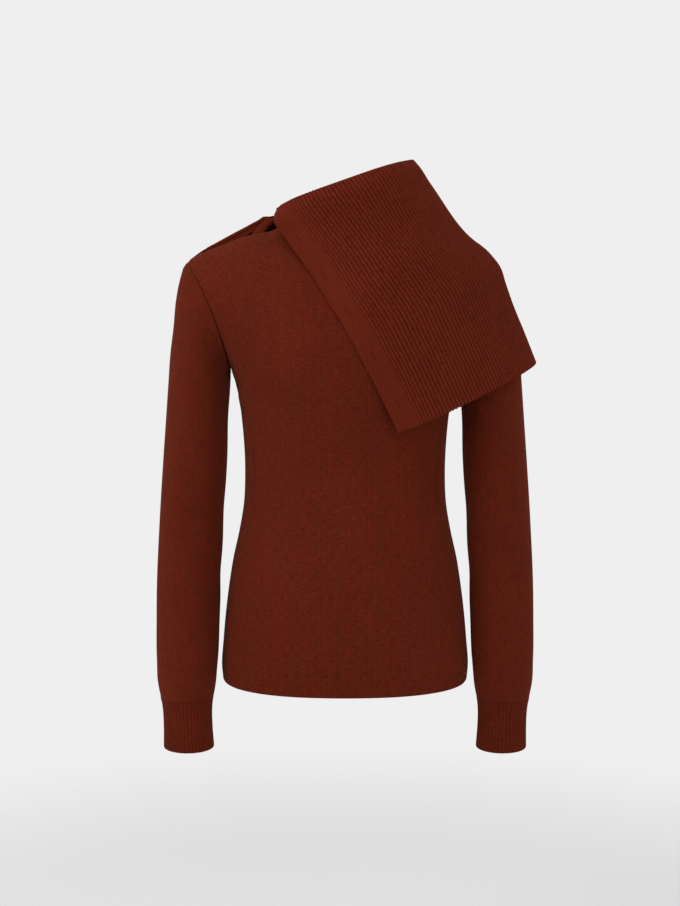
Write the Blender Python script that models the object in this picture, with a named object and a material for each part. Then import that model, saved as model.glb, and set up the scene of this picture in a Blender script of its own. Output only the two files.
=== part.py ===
"""A fine-knit sweater with a large ribbed fold-over collar, as it stands when worn.

Millimetres are used until build(). +X is the wearer's left, the front faces -Y and +Z is up.
The origin is the middle of the neck at shoulder height.
"""

import bpy
import numpy as np

for old in list(bpy.data.objects):
    bpy.data.objects.remove(old)

MM = 0.001
SEAM = 0.3
BODY_WALL = 2.0
COLLAR_WALL = 2.2
BAND_WALL = 2.0
RIB_HEIGHT = 0.9
HALF_COLUMNS = 9
ARM_STEPS = 10
UP = np.array([0.0, 0.0, 1.0])

# The body, one row per level from the hem to the underarm
BODY_NAMES = ("z", "half_width", "front", "back", "squareness")
BODY = (
    (-584, 154.3, 108, 102, 2.35),
    (-568, 155.8, 110, 104, 2.30),
    (-535, 153.6, 112, 106, 2.25),
    (-500, 150.4, 112, 106, 2.20),
    (-465, 146.0, 110, 105, 2.15),
    (-430, 140.4, 107, 101, 2.10),
    (-395, 132.6, 102, 93, 2.05),
    (-360, 126.7, 97, 85, 2.00),
    (-320, 125.0, 95, 82, 2.00),
    (-280, 126.5, 98, 85, 2.00),
    (-240, 130.5, 107, 92, 2.00),
    (-215, 135.0, 113, 96, 2.00),
    (-191, 141.3, 117, 98, 2.00),
)

# The middle of the front and of the back above the underarm
CENTRE_NAMES = ("z", "y")
CENTRE_FRONT = ((-191, -117), (-160, -114.5), (-125, -106.5), (-90, -93.5), (-65, -82), (-45.3, -72))
CENTRE_BACK = ((-191, 98), (-150, 96), (-110, 89.5), (-75, 80.5), (-45, 70.5), (-14.8, 58))

# The shoulder's ridge from the neck to its tip
RIDGE_NAMES = ("x", "y", "z")
RIDGE = ((84, 0, 1), (100, 0, -6), (123, 0, -17.5), (154, 0, -34), (180, 0, -48.5), (193.5, 0, -59))

# The front's open edge on the right shoulder, which lies forward of the ridge
OPEN_EDGE = (
    (79.7, -24, -15),
    (85, -24, -18.5),
    (109, -20, -24.5),
    (128, -16.5, -29.5),
    (146, -12.5, -37),
    (165, -8, -44),
    (181.5, -4, -51),
    (193.5, 0, -59),
)

# The armhole, an ellipse between the shoulder's tip and the underarm
TIP = np.array([193.5, 0.0, -59.0])
UNDERARM = np.array([141.5, 0.0, -191.0])
ARM_FRONT = 50.0
ARM_BACK = 46.0
ARM_BOW = 7.8
ARM_ALONG = (TIP - UNDERARM) / np.linalg.norm(TIP - UNDERARM)
ARM_OUT = np.array([ARM_ALONG[2], 0.0, -ARM_ALONG[0]])

# The sleeve, one row per section below the armhole, from its inner to its outer side
SLEEVE_NAMES = ("in_x", "in_z", "out_x", "out_z", "front", "back", "forward", "bow")
SLEEVE = (
    (142.1, -193.5, 199.5, -67, 49.5, 46, 0, 0.7),
    (142.1, -196, 203.9, -82, 49.5, 46, 0, 0.45),
    (142.1, -199, 208.6, -105, 49, 46, 0, 0.2),
    (142.1, -203, 212.3, -140, 48.5, 46, 0, 0.05),
    (142.4, -209, 216.5, -172, 48, 46, 0, 0),
    (143.0, -220, 219.4, -208, 47, 45, 0, 0),
    (144.5, -250, 222.7, -250, 46.5, 44.5, 0, 0),
    (147.4, -310, 227.4, -310, 45, 43, 1, 0),
    (151.5, -374, 231.8, -374, 43.5, 42, 4, 0),
    (154.4, -438, 234.8, -438, 42, 41, 10, 0),
    (157.2, -501, 236.1, -501, 41, 40, 17, 0),
    (159.5, -554, 236.3, -554, 40, 39, 23, 0),
    (162.9, -584, 234.2, -584, 37, 36.5, 26, 0),
    (165.9, -602.6, 231.5, -602.6, 34, 33.5, 27, 0),
)
CUFF = (
    (166.0, -603.1, 231.3, -603.1, 33.8, 33.4, 27, 0),
    (167.4, -618, 229.0, -618, 32, 32, 28, 0),
    (167.0, -643, 228.0, -643, 31.5, 31.5, 29, 0),
    (165.2, -667, 228.2, -667, 32, 32, 30, 0),
)
CUFF_RIBS = 40

# The collar, one row per ring from the neck seam, over the fold, to the free edge.
# out is the ring's far left, end its front corner and tail its back corner. arch raises
# the ring between them and sag lowers its front corner.
COLLAR_NAMES = (
    "out_x", "out_z", "mid_x", "round",
    "end_x", "end_z", "deep", "dip",
    "tail_x", "tail_z", "tail_deep", "tail_dip", "arch", "sag",
)
COLLAR = (
    (82.8, 2.4, -1.0, 2.0, -78.9, -9.0, 70.4, -44, -82.0, -0.9, 56.6, -14, 0, 0),
    (79.0, 33, -1.5, 2.0, -77.5, 0, 80, -16, -79.5, 1, 70, -6, 2, 2),
    (77.0, 60, -2.0, 2.0, -76.5, 5, 87, 0, -78.5, 3.5, 78, 0, 4.5, 4),
    (82.0, 65, -2.5, 2.0, -84.0, 8, 93, 0, -85.0, 6, 84, 0, 5, 6.5),
    (88.5, 59, -2.0, 2.0, -86.0, -2, 100, 0, -85.0, -4, 91, 0, 5, 4),
    (103, 38, 5, 1.95, -66.0, -30, 102, 0, -66, -30, 95, 0, 3, 0),
    (129, 1.5, 12, 1.85, -44.0, -70, 109, 0, -46, -68, 103, 0, 1, 0),
    (152, -27.5, 20, 1.75, -26.0, -101, 118, 0, -30, -97, 109, 0, 0, 0),
    (177.5, -51.5, 24, 1.68, -8, -130, 121, 0, -12, -125, 112, 0, 0, 0),
    (191.3, -66.5, 27, 1.66, 3.0, -150, 122.5, 0, -1, -144, 113.5, 0, 0, 0),
    (198.2, -86, 29, 1.65, 13.0, -168, 123.5, 0, 9, -162, 114, 0, 0, 0),
    (207.5, -112, 34, 1.68, 27.0, -193, 124, 0, 21, -184, 114, 0, 0, 0),
    (221.0, -144, 39, 1.72, 44.0, -224, 123, 0, 37, -214, 113.5, 0, 0, 0),
    (237.2, -184, 45, 1.80, 63.5, -259, 121.3, 0, 54, -246, 112.5, 0, 0, 0),
)
BAND_WIDTH = 29.6
BAND_GAP = 0.4
FOLD_GAP = 1.3
BAND_COLUMNS = 5
FRONT_RIBS = 42
BACK_RIBS = 42
HOLE_LENGTH = 12.0
HOLE_WIDTH = 1.6
# Where the five buttonholes lie between the fold and the free edge
HOLES = (0.10, 0.28, 0.46, 0.67, 0.89)
FOLD_ROW = 3

# How far from the front corner of the fold its sag reaches
CORNER = 17.0

# The facing on the back's right shoulder edge, as y and z off the ridge
FACING = ((0, 0), (-2.8, 0.5), (-4.2, -1.6), (-3.2, -4.8), (-3.4, -11))

# The back strip's lower end, turned over across the open shoulder: its upper and its lower edge
TURN_NAMES = ("top_x", "top_y", "top_z", "low_x", "low_y", "low_z")
TURN = (
    (-84.6, -0.45, -2.6, -85.6, -0.45, -9.0),
    (-87.2, -6.0, -6.5, -87.6, -8.0, -13.6),
    (-93.2, -8.5, -7.3, -93.4, -12.5, -16.0),
    (-98.4, -11.0, -10.8, -98.6, -16.2, -20.0),
    (-103.2, -13.4, -15.5, -103.8, -17.6, -24.5),
    (-108.6, -15.2, -20.2, -109.5, -17.4, -27.2),
    (-114.0, -16.0, -24.4, -114.6, -16.8, -28.2),
)

# How far the collar's weight presses the left shoulder's tip inwards
PRESS = 13.5


def columns(names, rows):
    """A short table as one array per named column."""
    return dict(zip(names, np.array(rows, float).T))


def smooth(at, known, values):
    """A soft curve through values given at known, read at the places in at."""
    known = np.asarray(known, float)
    values = np.asarray(values, float)
    slopes = np.gradient(values, known, axis=0)
    place = np.clip(np.searchsorted(known, at, side="right") - 1, 0, len(known) - 2)
    wide = known[place + 1] - known[place]
    u = (np.asarray(at) - known[place]) / wide
    shape = (len(u),) + (1,) * (values.ndim - 1)
    u = u.reshape(shape)
    wide = wide.reshape(shape)
    first, second = values[place], values[place + 1]
    start, finish = slopes[place] * wide, slopes[place + 1] * wide
    return (
        first * (2 * u**3 - 3 * u**2 + 1)
        + start * (u**3 - 2 * u**2 + u)
        + second * (3 * u**2 - 2 * u**3)
        + finish * (u**3 - u**2)
    )


def ease(value):
    """0 below 0, 1 above 1 and soft between."""
    value = np.clip(value, 0, 1)
    return value * value * (3 - 2 * value)


def pressed(points):
    """Points with the left shoulder's tip pressed in under the collar."""
    points = points.copy()
    reach = ease((points[..., 0] - 95) / 90) * ease((points[..., 2] + 150) / 50)
    points[..., 0] -= PRESS * reach
    return points


def outward(grid, wrap=False):
    """The unit normal at each point of a grid, on the side that rows x columns points to."""
    down = np.gradient(grid, axis=0)
    if wrap:
        along = np.roll(grid, -1, axis=1) - np.roll(grid, 1, axis=1)
    else:
        along = np.gradient(grid, axis=1)
    normal = np.cross(down, along)
    return normal / np.maximum(np.linalg.norm(normal, axis=-1, keepdims=True), 1e-9)


def kept_off(normal, direction):
    """Normals without the part that points along direction, so that a wall stays on its side of a seam."""
    along = np.maximum(normal @ direction, 0)[..., None]
    normal = normal - along * direction
    return normal / np.linalg.norm(normal, axis=-1, keepdims=True)


def rim(fine, coarse, ratio):
    """Triangles between a row of points and a coarser row beside it."""
    faces = []
    for k in range(len(coarse) - 1):
        start = k * ratio
        middle = start + (ratio + 1) // 2
        for j in range(start, middle):
            faces.append((fine[j], fine[j + 1], coarse[k]))
        faces.append((fine[middle], coarse[k + 1], coarse[k]))
        for j in range(middle, start + ratio):
            faces.append((fine[j], fine[j + 1], coarse[k + 1]))
    return faces


def build(name, outer, inner, color, wrap=False):
    """A closed wall between two grids. The inner grid may have fewer columns."""
    rows, wide, narrow = len(outer), outer.shape[1], inner.shape[1]
    top = np.arange(rows * wide).reshape(rows, wide)
    low = rows * wide + np.arange(rows * narrow).reshape(rows, narrow)
    if wrap:
        top = np.hstack([top, top[:, :1]])
        low = np.hstack([low, low[:, :1]])
    ratio = (top.shape[1] - 1) // (low.shape[1] - 1)
    faces = np.stack([top[:-1, :-1], top[1:, :-1], top[1:, 1:], top[:-1, 1:]], axis=-1).reshape(-1, 4).tolist()
    faces += np.stack([low[:-1, :-1], low[:-1, 1:], low[1:, 1:], low[1:, :-1]], axis=-1).reshape(-1, 4).tolist()
    faces += rim(top[0].tolist(), low[0].tolist(), ratio)
    faces += [face[::-1] for face in rim(top[-1].tolist(), low[-1].tolist(), ratio)]
    if not wrap:
        faces += np.stack([top[1:, 0], top[:-1, 0], low[:-1, 0], low[1:, 0]], axis=-1).tolist()
        faces += np.stack([top[:-1, -1], top[1:, -1], low[1:, -1], low[:-1, -1]], axis=-1).tolist()
    points = np.concatenate([outer.reshape(-1, 3), inner.reshape(-1, 3)]) * MM
    mesh = bpy.data.meshes.new(name)
    mesh.from_pydata(points.tolist(), [], faces)
    mesh.validate()
    obj = bpy.data.objects.new(name, mesh)
    bpy.context.scene.collection.objects.link(obj)
    material = bpy.data.materials.new(name)
    material.use_nodes = True
    shader = material.node_tree.nodes["Principled BSDF"]
    shader.inputs["Base Color"].default_value = (*color, 1)
    shader.inputs["Roughness"].default_value = 0.9
    mesh.materials.append(material)
    return obj


def armhole(angle):
    """The left armhole: 0 is the shoulder's tip, pi the underarm, and it passes the front first."""
    middle = (TIP + UNDERARM) / 2
    half = np.linalg.norm(TIP - UNDERARM) / 2
    depth = np.where(np.sin(angle) > 0, ARM_FRONT, ARM_BACK) * np.sin(angle)
    bow = ARM_BOW * np.sin(angle) ** 2
    points = middle + half * np.cos(angle)[:, None] * ARM_ALONG - bow[:, None] * ARM_OUT
    points[:, 1] -= depth
    return points


def neck_seam(side, face, count):
    """The neckline from the middle of the front or back to the shoulder's edge."""
    row = dict(zip(COLLAR_NAMES, COLLAR[0]))
    deep, dip = (72.0, row["dip"]) if face < 0 else (58.0, row["tail_dip"])
    end = 0.0 if side > 0 or face > 0 else np.arcsin(24.0 / deep)
    angle = np.linspace(np.pi / 2, end, count)
    x = 84.0 * np.cos(angle)
    if side < 0 and face < 0:
        x *= 79.7 / x[-1]
    left_z, right_z = 1.0, (-15.0 - dip * np.sin(end) ** 2 if face < 0 else -2.0)
    level = left_z + (right_z - left_z) * (84.0 - side * x) / 168.0
    z = level + dip * np.sin(angle) ** 2 - 0.3 * np.sin(angle)
    return np.stack([x, face * deep * np.sin(angle), z], axis=1)


def half_panel(side, face):
    """Half of the front (face -1) or back (face 1), from its middle to the left (side 1) or right edge."""
    body = columns(BODY_NAMES, BODY)
    deep = body["front"] if face < 0 else body["back"]
    s = np.linspace(0, 1, HALF_COLUMNS + 1)
    power = 2 / body["squareness"][:, None]
    x = body["half_width"][:, None] * np.sin(s * np.pi / 2) ** power
    y = SEAM / 2 + (deep[:, None] - SEAM / 2) * np.maximum(np.cos(s * np.pi / 2), 0) ** power
    lower = np.stack([x, face * y, np.broadcast_to(body["z"][:, None], x.shape)], axis=-1)
    # The neckline and the shoulder make the top edge
    neck_count = HALF_COLUMNS // 2 + 1
    neck = neck_seam(side, face, neck_count)
    line = np.array(OPEN_EDGE if side < 0 and face < 0 else RIDGE, float)
    if side < 0 and face > 0:
        line[0, 2] = -2.0
    place = np.linspace(line[0, 0], line[-1, 0], HALF_COLUMNS + 2 - neck_count)
    shoulder = smooth(place, line[:, 0], line)
    shoulder[:, 1] = np.minimum(shoulder[:, 1], -SEAM / 2) if face < 0 else SEAM / 2
    top = np.concatenate([neck, shoulder[1:]])
    # The armhole makes the side edge and the table makes the middle
    t = np.linspace(0, 1, ARM_STEPS + 1)
    centre_table = np.array(CENTRE_FRONT if face < 0 else CENTRE_BACK, float)
    centre_table[0, 1] = lower[-1, 0, 1]
    centre_table[-1] = neck[0, 2], neck[0, 1]
    level = centre_table[0, 0] + (centre_table[-1, 0] - centre_table[0, 0]) * t
    centre = np.stack([0 * t, smooth(level, centre_table[:, 0], centre_table[:, 1]), level], axis=1)
    arm = armhole(np.pi * (1 - t)) - SEAM / 2 * ARM_OUT
    if face > 0:
        arm[:, 1] *= -ARM_BACK / ARM_FRONT
    arm[:, 1] = face * np.maximum(face * arm[:, 1], SEAM / 2)
    arm[0] = lower[-1, -1]
    arm[-1] = top[-1]
    # A patch between the four edges, with the shoulder's top rounded out
    across, up = s[None, :, None], t[:, None, None]
    patch = (1 - up) * lower[-1][None] + up * top[None] + (1 - across) * centre[:, None] + across * arm[:, None]
    patch -= (1 - up) * ((1 - across) * lower[-1, 0] + across * lower[-1, -1])
    patch -= up * ((1 - across) * top[0] + across * top[-1])
    swell = 9 * np.sin(np.pi * across) * 6.75 * up**2 * (1 - up)
    patch = patch + swell * np.array([0, face * 0.6, 0.8])
    half = np.concatenate([lower, patch[1:]])
    half[..., 0] *= side
    return half


def panel(face):
    """The whole front or back as a grid whose rows x columns points out."""
    left, right = half_panel(1, face), half_panel(-1, face)
    whole = np.concatenate([right[:, ::-1], left[:, 1:]], axis=1)
    return pressed(whole if face > 0 else whole[:, ::-1])


def panel_inner(outer):
    """The inside of a panel, kept on its own side of the armhole, side, neck and shoulder seams."""
    normal = outward(outer)
    arm_rows = slice(len(BODY) - 1, None)
    for column in (0, -1):
        out = ARM_OUT * np.array([np.sign(outer[0, column, 0]), 1, 1])
        normal[arm_rows, column] = -kept_off(-normal[arm_rows, column], out)
        normal[: len(BODY), column, 1] = 0
        normal[: len(BODY), column, 2] = 0
    normal /= np.linalg.norm(normal, axis=-1, keepdims=True)
    normal[-1] = -kept_off(-normal[-1], UP)
    face = np.sign(outer[0, HALF_COLUMNS, 1])
    toward = np.array([0, -face, 0.0])
    normal[-1] = -kept_off(-normal[-1], toward)
    return outer - BODY_WALL * normal


def tube(rows, count, start=None):
    """A left sleeve or cuff as a grid: each section's points pass its outer side, front, inner side, back."""
    part = columns(SLEEVE_NAMES, rows)
    angle = np.arange(count) * 2 * np.pi / count
    inner = np.stack([part["in_x"], 0 * part["in_x"], part["in_z"]], axis=1)[:, None]
    outer = np.stack([part["out_x"], 0 * part["in_x"], part["out_z"]], axis=1)[:, None]
    grid = (inner + outer) / 2 + (outer - inner) / 2 * np.cos(angle)[None, :, None]
    deep = np.where(np.sin(angle) > 0, part["front"][:, None], part["back"][:, None])
    grid = grid + np.zeros((1, 1, 3))
    grid[..., 1] = -deep * np.sin(angle) - part["forward"][:, None]
    grid -= (ARM_BOW * part["bow"][:, None] * np.sin(angle) ** 2)[..., None] * ARM_OUT
    if start is not None:
        grid = np.concatenate([start[None], grid])
    return grid


def ring(row):
    """A closely spaced line along one ring of the collar, with its lengths and where its far left is."""
    r = dict(zip(COLLAR_NAMES, row))
    half = r["out_x"] - r["mid_x"]

    def side(end_x, end_z, deep, dip, face):
        reach = (end_x - r["mid_x"]) / half
        last = np.arccos(np.sign(reach) * abs(reach) ** (r["round"] / 2))
        angle = np.linspace(0, last, 200)
        c, s = np.cos(angle), np.sin(angle)
        x = r["mid_x"] + half * np.sign(c) * np.abs(c) ** (2 / r["round"])
        y = face * deep * s ** (2 / r["round"])
        share = (r["out_x"] - x) / (r["out_x"] - end_x)
        z = r["out_z"] + (end_z - r["out_z"]) * share + dip * (y / deep) ** 2
        z += r["arch"] * (1 - (2 * share - 1) ** 4)
        line = np.stack([x, y, z], axis=1)
        if face < 0:
            from_end = np.linalg.norm(line - line[-1], axis=1)
            line[:, 2] -= r["sag"] * np.maximum(1 - from_end / CORNER, 0) ** 2
        return line

    front = side(r["end_x"], r["end_z"], r["deep"], r["dip"], -1)[::-1]
    back = side(r["tail_x"], r["tail_z"], r["tail_deep"], r["tail_dip"], 1)
    line = np.concatenate([front, back[1:]])
    length = np.concatenate([[0], np.cumsum(np.linalg.norm(np.diff(line, axis=0), axis=1))])
    return line, length, length[len(front) - 1]


def along_ring(row, lengths):
    """Points at the given lengths along a ring, measured from the front corner."""
    line, length, _ = ring(row)
    return np.stack([np.interp(lengths, length, line[:, i]) for i in range(3)], axis=1)


def collar_grid():
    """The whole collar's plain surface: the front strip, the ribbed part with two columns to a rib, the back strip."""
    grid = []
    for number, row in enumerate(COLLAR):
        _, length, left = ring(row)
        strip = np.linspace(0, BAND_WIDTH, BAND_COLUMNS)
        start = BAND_WIDTH + (FOLD_GAP if abs(number - FOLD_ROW - 0.5) < 2 else BAND_GAP)
        first = np.linspace(start, left, 2 * FRONT_RIBS + 1)
        second = np.linspace(left, length[-1] - start, 2 * BACK_RIBS + 1)
        grid.append(along_ring(row, np.concatenate([strip, first, second[1:], length[-1] - strip[::-1]])))
    return np.array(grid)


def flat_seam(normal):
    """Normals of the collar with its lowest row kept above the neck seam."""
    normal = normal.copy()
    normal[0] = kept_off(normal[0], UP)
    return normal


RUST = (0.10, 0.0145, 0.0065)

front = panel(-1)
back = panel(1)
build("front", front, panel_inner(front), RUST)
build("back", back, panel_inner(back), RUST)

sleeve_angles = np.arange(2 * ARM_STEPS) * np.pi / ARM_STEPS
cuff_columns = 2 * CUFF_RIBS
for side, word in ((1, "left"), (-1, "right")):
    seam_out = ARM_OUT * np.array([side, 1, 1])
    start = armhole(sleeve_angles) + SEAM / 2 * ARM_OUT
    sleeve = tube(SLEEVE, 2 * ARM_STEPS, start)
    cuff = tube(CUFF, cuff_columns)
    if side > 0:
        sleeve, cuff = pressed(sleeve), pressed(cuff)
        sleeve, cuff = sleeve[:, ::-1], cuff[:, ::-1]
    else:
        sleeve, cuff = sleeve * np.array([-1, 1, 1]), cuff * np.array([-1, 1, 1])
    normal = outward(sleeve, wrap=True)
    normal[0] = kept_off(normal[0], seam_out)
    normal[-1] = -kept_off(-normal[-1], -UP)
    build("sleeve_" + word, sleeve, sleeve - BODY_WALL * normal, RUST, wrap=True)
    normal = outward(cuff, wrap=True)
    normal[..., 2] = 0
    raised = RIB_HEIGHT * (np.arange(cuff_columns) % 2)
    ribbed = cuff + raised[None, :, None] * normal - 0.6 * RIB_HEIGHT * normal
    plain = (cuff - BODY_WALL * normal)[:, ::4]
    build("cuff_" + word, ribbed, plain, RUST, wrap=True)

whole = collar_grid()
normal = flat_seam(outward(whole))
ribbed = slice(BAND_COLUMNS, -BAND_COLUMNS)
collar, collar_normal = whole[:, ribbed], normal[:, ribbed]
raised = RIB_HEIGHT * (np.arange(collar.shape[1]) % 2)[None, :, None] * collar_normal
build("collar", collar + raised, (collar - COLLAR_WALL * collar_normal)[:, ::4], RUST)

band, band_normal = whole[:, :BAND_COLUMNS], normal[:, :BAND_COLUMNS]
band_front = build("collar_band_front", band, band - BAND_WALL * band_normal, RUST)
tail, tail_normal = whole[:, -BAND_COLUMNS:], normal[:, -BAND_COLUMNS:]
build("collar_band_back", tail, tail - BAND_WALL * tail_normal, RUST)

# The buttonholes are slits through the front strip, along its length
middle = band[FOLD_ROW:, 2]
middle_normal = band_normal[FOLD_ROW:, 2]
run = np.concatenate([[0], np.cumsum(np.linalg.norm(np.diff(middle, axis=0), axis=1))])
cutters = []
points, faces = [], []
for place in HOLES:
    at = np.array([place * run[-1]])
    spot = smooth(at, run, middle)[0]
    ahead = smooth(at + 1, run, middle)[0] - spot
    ahead /= np.linalg.norm(ahead)
    out = smooth(at, run, middle_normal)[0]
    out -= ahead * (out @ ahead)
    out /= np.linalg.norm(out)
    wide = np.cross(out, ahead)
    base = len(points)
    for i in (-1, 1):
        for j in (-1, 1):
            for k in (-1, 1):
                points.append(
                    (spot + i * HOLE_LENGTH / 2 * ahead + j * HOLE_WIDTH / 2 * wide + k * 4 * out) * MM
                )
    for face in ((0, 1, 3, 2), (4, 6, 7, 5), (0, 4, 5, 1), (2, 3, 7, 6), (0, 2, 6, 4), (1, 5, 7, 3)):
        faces.append([base + corner for corner in face])
cutter_mesh = bpy.data.meshes.new("slits")
cutter_mesh.from_pydata(points, [], faces)
cutter = bpy.data.objects.new("slits", cutter_mesh)
bpy.context.scene.collection.objects.link(cutter)
cutter.hide_render = True
cut = band_front.modifiers.new("buttonholes", "BOOLEAN")
cut.operation = "DIFFERENCE"
cut.solver = "EXACT"
cut.object = cutter

# The back's right shoulder edge is faced with a strip that rolls over and hangs down inside
right = slice(HALF_COLUMNS + 1 + HALF_COLUMNS // 2, 2 * HALF_COLUMNS)
opening = -front[-1, right, 1]
share = np.clip(opening / 12, 0.5, 1)
ridge = back[-1][::-1][right].copy()
ridge[:, 1] = -SEAM / 2
strip = np.stack([ridge + np.stack([0 * share, y * share, z * share], axis=1) for y, z in FACING])[:, ::-1]
strip_normal = outward(strip)
strip_normal[0] = kept_off(strip_normal[0], np.array([0, -1.0, 0]))
build("shoulder_strip", strip, strip - 1.5 * strip_normal, RUST)

# The turned end of the back strip
turned = np.array(TURN)
turned = np.stack([turned[:, :3], turned[:, :3] * 0.5 + turned[:, 3:] * 0.5 - [0, 1.2, 0], turned[:, 3:]])
turned[1, 0, 1] = turned[0, 0, 1]
turn_normal = outward(turned)
if turn_normal[1, 3, 1] > 0:
    turned = turned[:, ::-1]
    turn_normal = outward(turned)
for end in (0, -1):
    if abs(turned[1, end, 1]) < 1:
        turn_normal[:, end] = kept_off(turn_normal[:, end], np.array([0, -1.0, 0]))
build("collar_band_turn", turned, turned - 1.6 * turn_normal, RUST)
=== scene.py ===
"""A fine-knit sweater with a large ribbed fold-over collar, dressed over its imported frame.

Every cloth is a thin closed shell on a grid worked out with numpy. Millimetres are used until
a mesh is made. +X is the wearer's left, the front faces -Y and +Z is up.
"""

import math

import bpy
import mathutils
import numpy as np
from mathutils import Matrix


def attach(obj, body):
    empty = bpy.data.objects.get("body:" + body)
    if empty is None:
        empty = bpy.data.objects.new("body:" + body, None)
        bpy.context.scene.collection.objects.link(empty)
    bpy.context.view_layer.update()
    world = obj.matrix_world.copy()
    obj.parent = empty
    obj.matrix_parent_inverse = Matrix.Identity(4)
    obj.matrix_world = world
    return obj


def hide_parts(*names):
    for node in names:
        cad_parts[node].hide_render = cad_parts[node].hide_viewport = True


bl_info = {
    "name": "Rust Sweater",
    "version": (1, 0, 0),
    "blender": (4, 5, 0),
    "location": "View3D > Sidebar > Sweater",
    "description": "Builds a worn sweater with a ribbed fold-over collar and its stage",
    "category": "Object",
}

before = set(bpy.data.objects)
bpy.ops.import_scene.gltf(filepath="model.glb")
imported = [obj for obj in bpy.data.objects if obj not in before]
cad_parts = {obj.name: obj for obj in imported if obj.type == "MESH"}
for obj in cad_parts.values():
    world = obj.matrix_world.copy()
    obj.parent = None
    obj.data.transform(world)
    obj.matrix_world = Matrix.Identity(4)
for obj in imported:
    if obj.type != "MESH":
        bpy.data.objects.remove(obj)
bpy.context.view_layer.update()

MM = 0.001
FLOOR = -1.25

# Body levels from the hem to the underarm
BODY_NAMES = ("z", "half_width", "front", "back", "squareness")
BODY = (
    (-584, 154.3, 108, 102, 2.35),
    (-568, 155.8, 110, 104, 2.30),
    (-535, 153.6, 112, 106, 2.25),
    (-500, 150.4, 112, 106, 2.20),
    (-465, 146.0, 110, 105, 2.15),
    (-430, 140.4, 107, 101, 2.10),
    (-395, 132.6, 102, 93, 2.05),
    (-360, 126.7, 97, 85, 2.00),
    (-320, 125.0, 95, 82, 2.00),
    (-280, 126.5, 98, 85, 2.00),
    (-240, 130.5, 107, 92, 2.00),
    (-215, 135.0, 113, 96, 2.00),
    (-191, 141.3, 117, 98, 2.00),
)

# The middle of the front and of the back above the underarm, as z and y
CENTRE_FRONT = (
    (-191, -117), (-160, -114.5), (-125, -106.5), (-90, -93.5), (-65, -82), (-45.3, -72)
)
CENTRE_BACK = ((-191, 98), (-150, 96), (-110, 89.5), (-75, 80.5), (-45, 70.5), (-14.8, 58))

# The shoulder's ridge from the neck to its tip, as x, y and z
RIDGE = ((84, 0, 1), (100, 0, -6), (123, 0, -17.5), (154, 0, -34), (180, 0, -48.5), (193.5, 0, -59))

# The front's open edge on the right shoulder
OPEN_EDGE = (
    (79.7, -24, -15),
    (85, -24, -18.5),
    (109, -20, -24.5),
    (128, -16.5, -29.5),
    (146, -12.5, -37),
    (165, -8, -44),
    (181.5, -4, -51),
    (193.5, 0, -59),
)

# The armhole
TIP = np.array([193.5, 0.0, -59.0])
UNDERARM = np.array([141.5, 0.0, -191.0])
ARM_FRONT = 50.0
ARM_BACK = 46.0
ARM_BOW = 7.8
ARM_ALONG = (TIP - UNDERARM) / np.linalg.norm(TIP - UNDERARM)
ARM_OUT = np.array([ARM_ALONG[2], 0.0, -ARM_ALONG[0]])

# Sleeve sections below the armhole, from the inner to the outer side
SLEEVE_NAMES = ("in_x", "in_z", "out_x", "out_z", "front", "back", "forward", "bow")
SLEEVE = (
    (142.1, -193.5, 199.5, -67, 49.5, 46, 0, 0.7),
    (142.1, -196, 203.9, -82, 49.5, 46, 0, 0.45),
    (142.1, -199, 208.6, -105, 49, 46, 0, 0.2),
    (142.1, -203, 212.3, -140, 48.5, 46, 0, 0.05),
    (142.4, -209, 216.5, -172, 48, 46, 0, 0),
    (143.0, -220, 219.4, -208, 47, 45, 0, 0),
    (144.5, -250, 222.7, -250, 46.5, 44.5, 0, 0),
    (147.4, -310, 227.4, -310, 45, 43, 1, 0),
    (151.5, -374, 231.8, -374, 43.5, 42, 4, 0),
    (154.4, -438, 234.8, -438, 42, 41, 10, 0),
    (157.2, -501, 236.1, -501, 41, 40, 17, 0),
    (159.5, -554, 236.3, -554, 40, 39, 23, 0),
    (162.9, -584, 234.2, -584, 37, 36.5, 26, 0),
    (165.9, -602.6, 231.5, -602.6, 34, 33.5, 27, 0),
)
CUFF = (
    (166.0, -602.75, 231.3, -602.75, 33.9, 33.4, 27, 0),
    (167.4, -618, 229.0, -618, 32, 32, 28, 0),
    (167.0, -643, 228.0, -643, 31.5, 31.5, 29, 0),
    (165.2, -667, 228.2, -667, 32, 32, 30, 0),
)

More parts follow.
